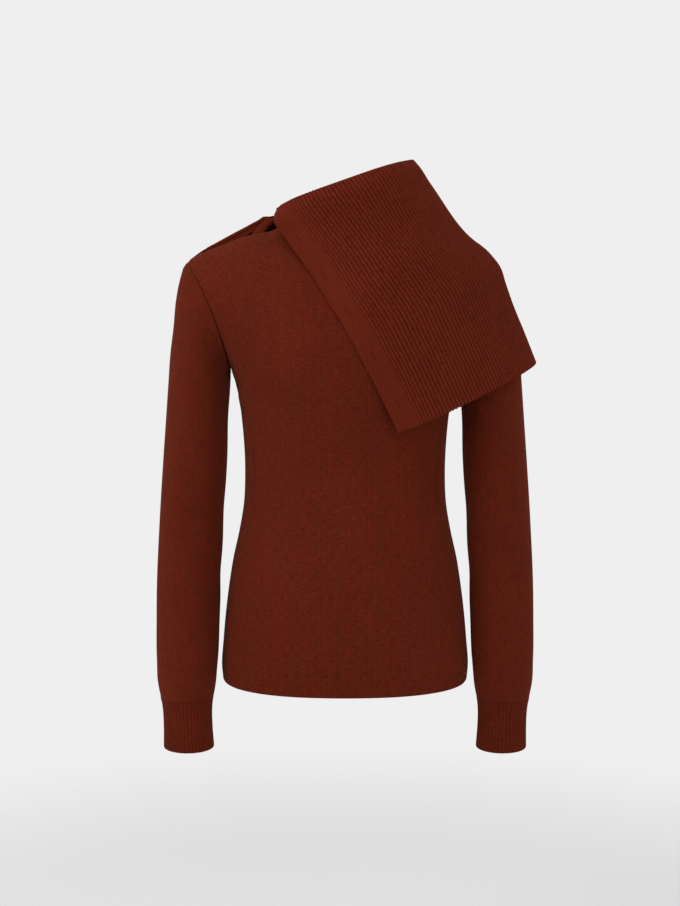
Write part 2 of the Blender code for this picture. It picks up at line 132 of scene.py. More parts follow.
# Collar rings from the neck seam, over the fold, to the free edge
COLLAR_NAMES = (
    "out_x", "out_z", "mid_x", "round",
    "end_x", "end_z", "deep", "dip",
    "tail_x", "tail_z", "tail_deep", "tail_dip", "arch", "sag", "turn", "comb", "tuck",
)
COLLAR = (
    (82.8, 2.4, -1.0, 2.0, -78.9, -9.0, 70.4, -44, -82.0, -0.9, 56.6, -14, 0, 0, 0, 0, 0),
    (79.0, 33, -1.5, 2.0, -77.5, 0, 80, -16, -79.5, 1, 70, -6, 2, 2, -2.5, 0, 0),
    (77.0, 60, -2.0, 2.0, -76.5, 5, 87, 0, -78.5, 3.5, 78, 0, 4.5, 4, -5, 0, 0),
    (82.0, 65, -2.5, 2.0, -84.0, 8, 93, 0, -85.0, 6, 84, 0, 5, 6.5, -7.5, 0.5, 0),
    (88.5, 59, -2.0, 2.0, -86.0, -2, 100, 0, -85.0, -4, 91, 0, 5, 4, -8.5, 3.5, 0),
    (103, 38, 5, 1.95, -70.7, -30, 102, 0, -66, -30, 95, 0, 3, 0, -6, 4, 1.5),
    (129, 1.5, 12, 1.85, -41, -70, 109, 0, -46, -68, 103, 0, 1, 0, -2, 1, 3.8),
    (152, -27.5, 20, 1.75, -21.3, -101, 118, 0, -30, -97, 109, 0, 0, 0, 0, 0, 3.8),
    (177.5, -51.5, 24, 1.68, -2.6, -130, 121, 0, -12, -125, 112, 0, 0, 0, 0, 0, 4),
    (191.3, -66.5, 27, 1.66, 8.9, -150, 122.5, 0, -1, -144, 113.5, 0, 0, 0, 0, 0, 3.5),
    (198.2, -86, 29, 1.65, 18.3, -168, 123.5, 0, 9, -162, 114, 0, 0, 0, 0, 0, 4),
    (207.5, -112, 34, 1.68, 31.5, -193, 124, 0, 21, -184, 114, 0, 0, 0, 0, 0, 6.5),
    (221.0, -144, 39, 1.72, 46.7, -224, 123, 0, 37, -214, 113.5, 0, 0, 0, 0, 0, 10),
    (237.2, -184, 45, 1.80, 63.5, -259, 121.3, 0, 54, -246, 112.5, 0, 0, 0, 0, 0, 14),
)

# Which ring is the fold, how wide a plain strip is, the gap between it and the ribs, and that
# above the neck seam
FOLD_ROW = 3
BAND_WIDTH = 29.6
BAND_GAP = 0.1
NECK_GAP = 0.2

# The front strip's slits: their places from the fold to the free edge, how far they lie from
# the strip's edge, their half length and half width, and how high their lips stand
HOLES = (0.17, 0.34, 0.50, 0.685, 0.89)
SLIT_FROM_EDGE = 14.8
SLIT_HALF_LENGTH = 5.6
SLIT_HALF_WIDTH = 0.32
LIP_HEIGHT = 0.4

# How far the left shoulder's tip is moved in
PRESS = 13.5

# How far from the front corner of the fold its sag reaches
CORNER = 17.0

# How far from the flap's front edge it starts to turn in towards the chest
EDGE_TUCK = 70.0

# The facing on the back's right shoulder edge, as y and z off the ridge
FACING = ((0, 0), (-2.8, 0.5), (-4.2, -1.6), (-3.2, -4.8), (-3.4, -11))

# The back strip's lower end, turned over across the open shoulder: x, y and z of
# its upper edge, then of its lower edge
TURN = (
    (-84.6, -0.45, -2.6, -85.6, -0.45, -9.0),
    (-87.6, -6.0, -4.8, -87.6, -7.8, -12.4),
    (-93.2, -8.5, -5.6, -93.4, -12.5, -17.0),
    (-98.4, -11.0, -8.0, -98.6, -16.6, -24.2),
    (-103.2, -13.4, -12.6, -103.8, -17.4, -26.6),
    (-108.6, -15.2, -18.6, -109.5, -17.0, -28.0),
    (-114.0, -16.0, -24.4, -114.6, -16.8, -28.2),
)

# The thickness of the facing and of the turned end
FACING_WALL = 1.3
TURN_WALL = 1.4

# How wide a sewn edge is rounded, as a share of the cloth's wall, and how far from an edge its
# extra rows or columns lie, in walls
SEWN = 0.16
EDGE_STEPS = np.array([0.08, 0.3, 0.7, 1.3])

# The neckline: how deep it lies and how far it dips at the front and at the back, its half
# width, and where and how deep its right end lies at the front
NECK_FRONT = (72.0, -44.0)
NECK_BACK = (58.0, -14.0)
NECK_HALF = 84.0
NECK_RIGHT = 79.7
NECK_RIGHT_DEEP = 24.0

# The camera: how far aside it stands, and its look down as a drop over a run
CAMERA_ASIDE = -0.00625
CAMERA_DROP = 0.3475
CAMERA_RUN = 2.4

# The round floor's radius and how far back its middle lies
FLOOR_RADIUS = 1.7
FLOOR_BACK = 0.4

# How finely each cloth is worked out
PANEL_HALF = 60
PANEL_LOW = 150
PANEL_HIGH = 44
OPEN_COLUMN = PANEL_HALF + PANEL_HALF * 4 // 9
ARM_COLUMNS = 96
ARM_ROWS = 190
RIB_COLUMNS = 6
CUFF_RIB_COLUMNS = 8
FACING_ROWS = 26
TURN_ROWS = 16
TURN_COLUMNS = 60

# How wide a rib is on its piece's map, and how far flecks are squeezed along it to be drawn out
RIB_WALE = 5.0
FLECK_SHARE = 0.28


def smooth(at, known, values):
    """A soft curve through values given at known, read at the places in at.

    Between two rows it is the cubic whose slope at each row is that row's mean slope.
    """
    known = np.asarray(known, float)
    values = np.asarray(values, float)
    slopes = np.gradient(values, known, axis=0)
    place = np.clip(np.searchsorted(known, at, side="right") - 1, 0, len(known) - 2)
    wide = known[place + 1] - known[place]
    u = (np.asarray(at) - known[place]) / wide
    shape = (len(u),) + (1,) * (values.ndim - 1)
    u = u.reshape(shape)
    wide = wide.reshape(shape)
    first, second = values[place], values[place + 1]
    start, finish = slopes[place] * wide, slopes[place + 1] * wide
    return (
        first * (2 * u**3 - 3 * u**2 + 1)
        + start * (u**3 - 2 * u**2 + u)
        + second * (3 * u**2 - 2 * u**3)
        + finish * (u**3 - u**2)
    )


def ease(value):
    """0 below 0, 1 above 1 and three v squared less two v cubed between."""
    value = np.clip(value, 0, 1)
    return value * value * (3 - 2 * value)


def bump(value):
    """A soft hill of height 1 at 0 that ends at -1 and 1: half of (1 + cos), to the power 1.5."""
    return ((1 + np.cos(np.pi * np.clip(value, -1, 1))) / 2) ** 1.5


def pressed(points):
    """Points with the left shoulder's tip moved in by PRESS.

    The move grows softly from x 95 to 185 and from z -150 to -100.
    """
    points = points.copy()
    reach = ease((points[..., 0] - 95) / 90) * ease((points[..., 2] + 150) / 50)
    points[..., 0] -= PRESS * reach
    return points


def outward(grid, wrap=False):
    """The unit normal at each point of a grid: its step down the rows crossed with that across."""
    down = np.gradient(grid, axis=0)
    if wrap:
        along = np.roll(grid, -1, axis=1) - np.roll(grid, 1, axis=1)
    else:
        along = np.gradient(grid, axis=1)
    normal = np.cross(down, along)
    return normal / np.maximum(np.linalg.norm(normal, axis=-1, keepdims=True), 1e-9)


def edged(grid, wall, turns=(1, 1, 1, 1), wrap=False):
    """The grid with four extra rows or columns close to each open edge, so that it can be round.

    turns says how wide the rounding is at the first row, last row, first and last column, as a
    share of the wall: 1 where the cloth's edge is free and SEWN where it is sewn.
    """
    steps = wall * EDGE_STEPS

    def both_ends(g, first, last):
        head = steps * np.max(first)
        foot = steps * np.max(last)
        near = np.linalg.norm(g[1, ..., :3] - g[0, ..., :3], axis=-1).mean()
        far = np.linalg.norm(g[-2, ..., :3] - g[-1, ..., :3], axis=-1).mean()
        head = [g[0] + (g[1] - g[0]) * min(step / near, 0.9 * step / head[-1]) for step in head]
        foot = [g[-1] + (g[-2] - g[-1]) * min(step / far, 0.9 * step / foot[-1]) for step in foot]
        return np.concatenate([g[:1], head, g[1:-1], foot[::-1], g[-1:]])

    grid = both_ends(grid, turns[0], turns[1])
    if not wrap:
        grid = both_ends(grid.swapaxes(0, 1), turns[2], turns[3]).swapaxes(0, 1)
    return grid


def softened(grid, spread, axis):
    """The grid blurred along one axis by a bell curve that is spread points wide.

    Beyond an end, the grid goes on as its own copy turned about the end point, so the ends stay.
    """
    reach = int(3 * spread)
    line = np.moveaxis(grid, axis, 0)
    head = 2 * line[:1] - line[reach:0:-1]
    foot = 2 * line[-1:] - line[-2 : -reach - 2 : -1]
    longer = np.concatenate([head, line, foot])
    bell = np.exp(-0.5 * (np.arange(-reach, reach + 1) / spread) ** 2)
    bell /= bell.sum()
    total = sum(weight * longer[i : i + len(line)] for i, weight in enumerate(bell))
    return np.moveaxis(total, 0, axis)


def seam_relief(away):
    """A seam's section: a trough 0.7 deep on the seam and a ridge 0.35 high 5 mm beside it."""
    return -0.7 * bump(away / 3) + 0.35 * bump((away - 5) / 3.5)


def lengths(grid, axis):
    """How far each point lies along the grid's lines in one direction."""
    step = np.linalg.norm(np.diff(grid, axis=axis), axis=-1)
    start = np.zeros_like(np.take(step, [0], axis=axis))
    return np.concatenate([start, np.cumsum(step, axis=axis)], axis=axis)


def cloth(name, middle, wall, uv, turns=(1, 1, 1, 1), wrap=False, holes=None):
    """A closed shell of the given wall about a middle surface, with round open edges.

    Each side lies half the wall from the middle along the normal. Near an edge the half wall
    follows a quarter circle down to nothing, so both sides share the edge's points.
    uv is in millimetres, one column longer than middle where it wraps.
    """
    rows, wide = middle.shape[:2]
    normal = outward(middle, wrap)
    down = lengths(middle, 0)
    gap = np.minimum(down / turns[0], (down[-1:] - down) / turns[1])
    edge = np.zeros((rows, wide), bool)
    edge[[0, -1]] = True
    if not wrap:
        across = lengths(middle, 1)
        gap = np.minimum(gap, np.minimum(across / turns[2], (across[:, -1:] - across) / turns[3]))
        edge[:, [0, -1]] = True
    share = np.clip(gap / wall, 0, 1)
    half = wall / 2 * np.sqrt(np.maximum(1 - (1 - share) ** 2, 0))
    half[edge] = 0
    outer = middle + half[..., None] * normal
    inner = middle - half[..., None] * normal
    top = np.arange(rows * wide).reshape(rows, wide)
    low = top.copy()
    low[~edge] = rows * wide + np.arange(int((~edge).sum()))
    points = np.concatenate([outer.reshape(-1, 3), inner[~edge]])
    if wrap:
        top = np.hstack([top, top[:, :1]])
        low = np.hstack([low, low[:, :1]])
    uv_index = np.arange(uv.shape[0] * uv.shape[1]).reshape(uv.shape[:2])

    def corners(a):
        return np.stack([a[:-1, :-1], a[1:, :-1], a[1:, 1:], a[:-1, 1:]], axis=-1)

    keep = np.ones(corners(top).shape[:2], bool) if holes is None else ~holes
    faces = [corners(top)[keep], corners(low)[keep][:, ::-1]]
    places = [corners(uv_index)[keep], corners(uv_index)[keep][:, ::-1]]
    if holes is not None:
        # A wall round each hole: one face for each side that a cut cell shares with a kept one
        for shift, a, b in (((1, 0), 0, 3), ((-1, 0), 2, 1), ((0, 1), 1, 0), ((0, -1), 3, 2)):
            beside = np.roll(~holes, shift, axis=(0, 1)) & holes
            t, w, u = corners(top)[beside], corners(low)[beside], corners(uv_index)[beside]
            faces.append(np.stack([t[:, a], t[:, b], w[:, b], w[:, a]], axis=-1))
            places.append(np.stack([u[:, a], u[:, b], u[:, b], u[:, a]], axis=-1))
    faces = np.concatenate(faces)
    places = np.concatenate(places)
    used, back = np.unique(faces, return_inverse=True)
    faces = back.reshape(faces.shape)
    points = points[used]
    mesh = bpy.data.meshes.new(name)
    mesh.vertices.add(len(points))
    mesh.vertices.foreach_set("co", (points * MM).astype(np.float32).ravel())
    mesh.loops.add(faces.size)
    mesh.loops.foreach_set("vertex_index", faces.astype(np.int32).ravel())
    mesh.polygons.add(len(faces))
    mesh.polygons.foreach_set("loop_start", np.arange(0, faces.size, 4, dtype=np.int32))
    mesh.update(calc_edges=True)
    layer = mesh.uv_layers.new(name="cloth")
    layer.data.foreach_set("uv", (uv.reshape(-1, 2)[places] * MM).astype(np.float32).ravel())
    mesh.polygons.foreach_set("use_smooth", np.ones(len(faces), bool))
    mesh.update()
    obj = bpy.data.objects.new(name, mesh)
    bpy.context.scene.collection.objects.link(obj)
    return obj


def dress(obj, material, node):
    """Gives a piece its material, hangs it under the root empty and hides the CAD part it replaces.
    """
    obj.data.materials.append(material)
    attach(obj, "root")
    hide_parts(node)
    return obj


def armhole(angle):
    """The left armhole: an ellipse from the shoulder's tip (0) past the front to the underarm (pi).

    It is bent towards the body by ARM_BOW times the angle's sine squared.
    """
    middle = (TIP + UNDERARM) / 2
    half = np.linalg.norm(TIP - UNDERARM) / 2
    deep = np.where(np.sin(angle) > 0, ARM_FRONT, ARM_BACK) * np.sin(angle)
    bow = ARM_BOW * np.sin(angle) ** 2
    points = middle + half * np.cos(angle)[:, None] * ARM_ALONG - bow[:, None] * ARM_OUT
    points[:, 1] -= deep
    return points


def neck_seam(side, face, share):
    """The neckline from the middle (share 0) of the front or back to the shoulder's edge (1)."""
    deep, dip = NECK_FRONT if face < 0 else NECK_BACK
    end = 0.0 if side > 0 or face > 0 else np.arcsin(NECK_RIGHT_DEEP / deep)
    angle = np.pi / 2 + (end - np.pi / 2) * share
    x = NECK_HALF * np.cos(angle)
    if side < 0 and face < 0:
        x *= NECK_RIGHT / x[-1]
    right_z = -15.0 - dip * np.sin(end) ** 2 if face < 0 else -2.0
    level = 1.0 + (right_z - 1.0) * (NECK_HALF - side * x) / (2 * NECK_HALF)
    z = level + dip * np.sin(angle) ** 2 - 0.3 * np.sin(angle)
    return np.stack([x, face * deep * np.sin(angle), z], axis=1)


def half_panel(side, face):
    """Half of the front (face -1) or back (face 1), from its middle to its left (side 1) or right.

    Below the underarm each level is a superellipse. Above it, a patch is the sum of two
    straight blends between opposite edges less the blend of the four corners, and its
    shoulder is rounded out by a hill.
    """
    rows = np.array(BODY, float)
    s = np.linspace(0, 1, PANEL_HALF + 1)
    z = np.linspace(rows[0, 0], rows[-1, 0], PANEL_LOW + 1)
    body = dict(zip(BODY_NAMES, smooth(z, rows[:, 0], rows).T))
    deep = body["front" if face < 0 else "back"][:, None]
    power = 2 / body["squareness"][:, None]
    x = body["half_width"][:, None] * np.sin(s * np.pi / 2) ** power
    y = 0.1 + (deep - 0.1) * np.maximum(np.cos(s * np.pi / 2), 0) ** power
    lower = np.stack([x, face * y, np.broadcast_to(z[:, None], x.shape)], axis=-1)
    # The neckline and the shoulder make the top edge
    cut = PANEL_HALF * 4 // 9
    neck = neck_seam(side, face, np.linspace(0, 1, cut + 1))
    line = np.array(OPEN_EDGE if side < 0 and face < 0 else RIDGE, float)
    if side < 0 and face > 0:
        line[0, 2] = -2.0
    place = np.linspace(line[0, 0], line[-1, 0], PANEL_HALF + 1 - cut)
    shoulder = smooth(place, line[:, 0], line)
    shoulder[:, 1] = np.minimum(shoulder[:, 1], -0.1) if face < 0 else 0.1
    top = np.concatenate([neck, shoulder[1:]])
    # The armhole makes the side edge and the table makes the middle
    t = np.linspace(0, 1, PANEL_HIGH + 1)
    table = np.array(CENTRE_FRONT if face < 0 else CENTRE_BACK, float)
    table[0, 1] = lower[-1, 0, 1]
    table[-1] = neck[0, 2], neck[0, 1]
    level = table[0, 0] + (table[-1, 0] - table[0, 0]) * t
    centre = np.stack([0 * t, smooth(level, table[:, 0], table[:, 1]), level], axis=1)
    arm = armhole(np.pi * (1 - t)) - 0.1 * ARM_OUT
    if face > 0:
        arm[:, 1] *= -ARM_BACK / ARM_FRONT
    arm[:, 1] = face * np.maximum(face * arm[:, 1], 0.1)
    arm[0] = lower[-1, -1]
    arm[-1] = top[-1]
    across, up = s[None, :, None], t[:, None, None]
    patch = (1 - up) * lower[-1][None] + up * top[None]
    patch = patch + (1 - across) * centre[:, None] + across * arm[:, None]
    patch -= (1 - up) * ((1 - across) * lower[-1, 0] + across * lower[-1, -1])
    patch -= up * ((1 - across) * top[0] + across * top[-1])
    swell = 9 * np.sin(np.pi * across) * 6.75 * up**2 * (1 - up)
    patch = patch + swell * np.array([0, face * 0.6, 0.8])
    half = np.concatenate([lower, patch[1:]])
    half[..., 0] *= side
    return half


def panel(face):
    """The whole front or back, its rows from the hem up, its normals outward."""
    left, right = half_panel(1, face), half_panel(-1, face)
    whole = np.concatenate([right[:, ::-1], left[:, 1:]], axis=1)
    soft = softened(softened(whole, 3.5, 0), 3.5, 1)
    column = np.arange(whole.shape[1])
    row = np.arange(whole.shape[0])[:, None]
    share = ease(np.minimum(column, column[::-1]) / 10) * ease((len(row) - 1 - row) / 14)
    whole = whole + (soft - whole) * share[..., None]
    return pressed(whole if face > 0 else whole[:, ::-1])


# Soft folds of the body: face, x and z of the middle, half length, half width, lean, depth
FOLD_NAMES = ("face", "x", "z", "long", "wide", "lean", "deep")
FOLDS = (
    (-1, -82, -330, 120, 20, -4, 1.6),
    (-1, -112, -300, 90, 12, -6, -1.2),
    (-1, 84, -330, 120, 22, 4, 1.4),
    (-1, 60, -400, 90, 16, 8, -1.0),
    (-1, -40, -440, 100, 18, -6, -0.8),
    (-1, -128, -205, 42, 8, 35, -2.4),
    (-1, 128, -208, 42, 8, -35, -2.4),
    (-1, -110, -225, 50, 10, 42, -1.2),
    (1, -70, -320, 130, 20, -5, 2.2),
    (1, 68, -325, 130, 20, 5, 2.2),
    (1, 0, -330, 110, 18, 0, -1.6),
    (1, -110, -215, 60, 12, 40, -2.0),
    (1, 110, -215, 60, 12, -40, -2.0),
    (1, -30, -300, 60, 12, 70, -1.4),
    (1, 34, -345, 60, 12, 100, -1.4),
)


def folded(grid, face):
    """A panel with its soft folds: each is a long hill or trough, faded at both ends."""
    normal = outward(grid)
    total = np.zeros(grid.shape[:2])
    for f in (dict(zip(FOLD_NAMES, row)) for row in FOLDS if row[0] == face):
        lean = math.radians(f["lean"])
        dx, dz = grid[..., 0] - f["x"], grid[..., 2] - f["z"]
        along = dz * math.cos(lean) + dx * math.sin(lean)
        across = dx * math.cos(lean) - dz * math.sin(lean)
        total += f["deep"] * bump(along / f["long"]) * bump(across / f["wide"] / 1.8)
    across = lengths(grid, 1)
    side = np.minimum(across, across[:, -1:] - across)
    high = ease((np.arange(len(grid)) - PANEL_LOW) / 5)[:, None]
    total += high * seam_relief(side) - (1 - high) * 0.35 * bump(side / 2.2)
    if face < 0:
        # Two soft cords of cloth lie forward of each side seam at the waist
        waist = bump((grid[..., 2] + 320) / 110)
        cords = 2.1 * bump((side - 39) / 5) - 2.0 * bump((side - 44.5) / 3.5)
        cords += 2.0 * bump((side - 50) / 5)
        total += waist * cords
        # The open edge on the right shoulder is rolled
        down = lengths(grid, 0)
        down = down[-1:] - down
        place = np.arange(grid.shape[1])
        shoulder = ease((place - OPEN_COLUMN) / 4) * ease((grid.shape[1] - 1 - place) / 8)
        total += shoulder * (0.9 * bump((down - 1.6) / 3.4) - 0.4 * bump((down - 6) / 2.5))
    return grid + total[..., None] * normal


def tube(rows, angle, levels, start=None):
    """A left sleeve or cuff: each section is an ellipse between its inner and outer points.

    Angle 0 is the outer side, a quarter turn the front. The sections follow the table softly,
    spaced by how far the outer side has come.
    """
    part = np.array(rows, float)
    mid = (part[:, [0, 1]] + part[:, [2, 3]]) / 2
    step = np.hypot(*np.diff(part[:, [2, 3]] * 0.7 + mid * 0.3, axis=0).T)
    known = np.concatenate([[0], np.cumsum(step)])
    values = smooth(levels * known[-1], known, part)
    p = dict(zip(SLEEVE_NAMES, values.T))
    inner = np.stack([p["in_x"], 0 * p["in_x"], p["in_z"]], axis=1)[:, None]
    outer = np.stack([p["out_x"], 0 * p["in_x"], p["out_z"]], axis=1)[:, None]
    grid = (inner + outer) / 2 + (outer - inner) / 2 * np.cos(angle)[None, :, None]
    deep = np.where(np.sin(angle) > 0, p["front"][:, None], p["back"][:, None])
    grid[..., 1] = -deep * np.sin(angle) - p["forward"][:, None]
    grid -= (ARM_BOW * p["bow"][:, None] * np.sin(angle) ** 2)[..., None] * ARM_OUT
    if start is not None:
        between = np.linspace(0, 1, 6)[:, None, None]
        grid = np.concatenate([start + (grid[0] - start) * between[:-1], grid])
    return grid


# Soft folds of a sleeve: z, angle in degrees, half length, half width in degrees, lean, depth
SLEEVE_FOLDS = (
    (-238, 152, 48, 26, 0.35, -2.8),
    (-262, 200, 40, 36, -0.3, -1.4),
    (-330, 60, 90, 30, 0.10, 0.8),
    (-395, 150, 34, 60, 0.8, -1.2),
    (-420, 120, 30, 50, -0.7, -1.0),
    (-445, 185, 34, 56, 0.6, -1.4),
    (-470, 20, 80, 30, 0.08, 0.8),
    (-560, 90, 26, 70, 0.5, 0.8),
    (-585, 20, 22, 80, -0.4, 0.9),
    (-582, 200, 22, 70, 0.4, 0.9),
    (-300, 290, 70, 34, 0.2, -1.2),
    (-430, 285, 60, 34, -0.25, -1.2),
)


def sleeve_folded(grid, angle):
    """A sleeve with its soft folds: hills and troughs round a place that lean with the turn."""
    normal = outward(grid, wrap=True)
    z = grid[..., 2].mean(axis=1)[:, None]
    turn = np.degrees(angle)[None, :] % 360
    total = np.zeros(grid.shape[:2])
    for level, place, long, wide, lean, deep in SLEEVE_FOLDS:
        off = (turn - place + 180) % 360 - 180
        total += deep * bump(off / wide / 1.6) * bump((z - level - lean * off) / long / 1.4)
    total += seam_relief(lengths(grid, 0))
    return grid + total[..., None] * normal


def ring(r):
    """A finely spaced line along one ring of the collar, its lengths and that at its far left.

    Each half is a superellipse about (mid_x, 0), tilted so that its height falls evenly
    from the far left to the end, plus a dip that grows with the square of its depth and an
    arch between its ends. turn moves the front half's middle. Near the front corner the line
    turns in by tuck and down by sag.
    """

    def side(end_x, end_z, deep, dip, face):
        mid = r["mid_x"] + (r["turn"] if face < 0 else 0)
        half = r["out_x"] - mid
        reach = (end_x - mid) / half
        last = np.arccos(np.sign(reach) * abs(reach) ** (r["round"] / 2))
        angle = np.linspace(0, last, 400)
        c, s = np.cos(angle), np.sin(angle)
        x = mid + half * np.sign(c) * np.abs(c) ** (2 / r["round"])
        y = face * deep * s ** (2 / r["round"])
        share = (r["out_x"] - x) / (r["out_x"] - end_x)
        z = r["out_z"] + (end_z - r["out_z"]) * share + dip * (y / deep) ** 2
        z += r["arch"] * (1 - (2 * share - 1) ** 4)
        line = np.stack([x, y, z], axis=1)
        if face < 0:
            from_end = np.linalg.norm(line - line[-1], axis=1)
            line[:, 1] += r["tuck"] * np.maximum(1 - from_end / EDGE_TUCK, 0) ** 2
            line[:, 2] -= r["sag"] * np.maximum(1 - from_end / CORNER, 0) ** 2
        return line

    front = side(r["end_x"], r["end_z"], r["deep"], r["dip"], -1)[::-1]
    back = side(r["tail_x"], r["tail_z"], r["tail_deep"], r["tail_dip"], 1)
    line = np.concatenate([front, back[1:]])
    length = lengths(line, 0)
    return line, length, length[len(front) - 1]


def collar_rings():
    """All rings of the collar, close together at the fold, with their places from the neck seam."""
    table = np.array(COLLAR, float)
    step = np.hypot(*np.diff(table[:, [0, 1]], axis=0).T)
    known = np.concatenate([[0], np.cumsum(step)])
    places = np.concatenate(
        [
            np.linspace(known[0], known[2], 10, endpoint=False),
            np.linspace(known[2], known[5], 20, endpoint=False),
            np.linspace(known[5], known[-1], 50),
        ]
    )
    rows = smooth(places, known, table)
    return [dict(zip(COLLAR_NAMES, row)) for row in rows], places, known[FOLD_ROW]


# Soft hollows and ridges of the collar's flap: share from fold to free edge, share from the
# front corner to the far left (to 2 at the back corner), half sizes of both, depth
FLAP_FOLDS = (
    (0.21, 0.50, 0.11, 0.28, -6.0),
    (0.31, 0.82, 0.10, 0.20, -5.0),
    (0.38, 0.48, 0.09, 0.22, 2.2),
    (0.49, 0.90, 0.08, 0.20, 2.8),
    (0.24, 1.36, 0.14, 0.24, -4.0),
    (0.45, 1.22, 0.12, 0.22, 2.0),
    (0.70, 1.45, 0.22, 0.20, 2.0),
    (0.75, 0.50, 0.25, 0.16, 1.0),
)


def collar_lines(ribs, rib_share):
    """The collar's front strip, ribs and back strip as grids, with each column's way round."""
    rings, places, fold = collar_rings()
    first_ribs = np.cumsum(np.where(np.arange(ribs) < 4, 0.84, 1.0))
    marks = np.concatenate([[0], first_ribs]) / first_ribs[-1]
    fine = np.interp(np.arange(ribs * RIB_COLUMNS + 1) / RIB_COLUMNS, np.arange(ribs + 1), marks)
    grids = ([], [], [])
    rounds = ([], [], [])
    start = BAND_WIDTH + BAND_GAP

    def combed(at, r, left):
        """Lengths from the front corner, moved along so that the ribs run straight."""
        fade = np.clip(1 - (at - start) / (0.8 * left - start), 0, 1)
        return at + r["comb"] * np.minimum(at / start, 1) * fade**1.3

    for r in rings:
        line, length, left = ring(r)
        total = length[-1]
        front = combed(start + (left - start) * fine, r, left)
        back = total - start - (total - start - left) * fine
        middle = np.concatenate([front, back[::-1][1:]])
        spots = (combed(rib_share, r, left), middle, total - rib_share[::-1])
        for k, at in enumerate(spots):
            grids[k].append(np.stack([np.interp(at, length, line[:, i]) for i in range(3)], axis=1))
            rounds[k].append(np.where(at < left, at / left, 1 + (at - left) / (total - left)))
    return [np.array(g) for g in grids], [np.array(g) for g in rounds], places, fold


def flap_relief(grid, around, places, fold):
    """The collar's grid with the flap's soft hollows and ridges along its normal."""
    share = ((places - fold) / (places[-1] - fold))[:, None]
    total = np.zeros(grid.shape[:2])
    for down, place, long, wide, deep in FLAP_FOLDS:
        total += deep * bump((share - down) / long / 1.6) * bump((around - place) / wide / 1.6)
    total *= ease(share * 12)
    return grid + total[..., None] * outward(grid)


def keep_apart(grid):
    """The collar with its lowest row raised off the neck seam by NECK_GAP."""
    grid = grid.copy()
    grid[0, :, 2] += NECK_GAP
    return grid


def rib_wave(count, per_rib):
    """How high each column stands across ribs, from -1 in a groove to 1 on top.

    It is the sine's size to the power 0.8, which gives broad rounds and narrow grooves.
    """
    return np.abs(np.sin(np.arange(count) * np.pi / per_rib)) ** 0.8 * 2 - 1


class Nodes:
    """A small helper that adds and links shader nodes."""

    def __init__(self, tree):
        self.tree = tree

    def add(self, kind, inputs=None, **settings):
        node = self.tree.nodes.new(kind)
        for key, value in settings.items():
            setattr(node, key, value)
        for key, value in (inputs or {}).items():
            if isinstance(value, bpy.types.NodeSocket):
                self.tree.links.new(value, node.inputs[key])
            else:
                node.inputs[key].default_value = value
        return node

    def math(self, operation, first, second=None, third=None):
        values = {i: v for i, v in enumerate((first, second, third)) if v is not None}
        return self.add("ShaderNodeMath", values, operation=operation).outputs[0]


